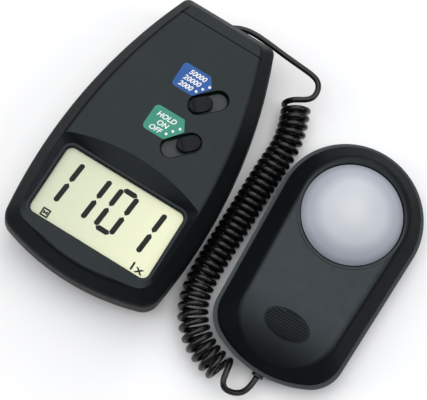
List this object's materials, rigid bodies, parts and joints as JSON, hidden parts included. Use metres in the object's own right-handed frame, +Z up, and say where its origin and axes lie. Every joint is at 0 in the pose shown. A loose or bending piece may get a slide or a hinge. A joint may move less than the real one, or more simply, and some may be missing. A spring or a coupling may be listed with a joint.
{
  "type": "light meter",
  "caption": "Handheld light meter with a digital display and slide switches, joined by a curly cord to a flat sensor head with a white dome.",
  "frame": {"origin": "on the table, midway between the meter's left side and the sensor's right side, and midway along the meter's length", "axes": "+X from the meter to the sensor, +Y towards the end where the cord leaves the meter, +Z up out of the display"},
  "size_m": [0.1412, 0.1259, 0.0297],
  "materials": {
    "case": "fine matte texture",
    "base_shell": "fine matte texture",
    "knob": "satin",
    "shield": "satin",
    "window": "clear gloss",
    "display": "grey green liquid crystal",
    "white_plastic": "satin",
    "dome": "soft white, lets light through",
    "board": "green resist",
    "black_plastic": "moulded",
    "blue_plastic": "moulded",
    "contact_rubber": "striped conductive rubber",
    "cord": "satin cord jacket",
    "screw_steel": "zinc plated",
    "contact_steel": "nickel plated",
    "can_metal": "drawn can",
    "battery_jacket": "printed sleeve left plain",
    "filter_glass": "green correction glass",
    "wire_jacket": "thin jacket"
  },
  "bodies": {
    "meter": {"front_case": "case", "rear_case": "case", "lcd_window": "window", "lcd_glass": "display", "lcd_bezel": "white_plastic", "zebra_strips": "contact_rubber", "main_board": "board", "range_switch_case": "black_plastic", "power_switch_case": "black_plastic", "driver_chip": "black_plastic", "trimmers": "blue_plastic", "capacitors": "black_plastic", "board_screws": "screw_steel", "case_screws": "screw_steel", "battery": "battery_jacket", "contact_plate": "contact_steel", "contact_spring": "contact_steel", "battery_leads": "wire_jacket", "signal_leads": "wire_jacket", "meter_gland": "cord", "cord_lead_meter": "cord", "cord_curls": "cord"},
    "range_switch": {"range_slider": "black_plastic", "range_shield": "shield", "range_knob": "knob"},
    "power_switch": {"power_slider": "black_plastic", "power_shield": "shield", "power_knob": "knob"},
    "battery_door": {"battery_door": "case"},
    "sensor": {"sensor_top_shell": "case", "sensor_base_shell": "base_shell", "diffuser_dome": "dome", "optical_filter": "filter_glass", "filter_holder": "black_plastic", "photodiode": "can_metal", "sensor_board": "board", "sensor_board_screws": "screw_steel", "sensor_case_screws": "screw_steel", "sensor_gland": "cord", "sensor_leads": "wire_jacket", "cord_lead_sensor": "cord"}
  },
  "joints": [
    {"name": "range_slide", "type": "slide", "parent": "meter", "child": "range_switch", "axis": [0.7071, 0.7071, 0], "range_m": [0, 0.006]},
    {"name": "power_slide", "type": "slide", "parent": "meter", "child": "power_switch", "axis": [0.7071, 0.7071, 0], "range_m": [-0.006, 0]},
    {"name": "door_slide", "type": "slide", "parent": "meter", "child": "battery_door", "axis": [0, -1, 0], "range_m": [0, 0.03]},
    {"name": "sensor_pull", "type": "slide", "parent": "meter", "child": "sensor", "axis": [0, -1, 0], "range_m": [0, 0.3], "deforming": ["cord_curls"]}
  ]
}
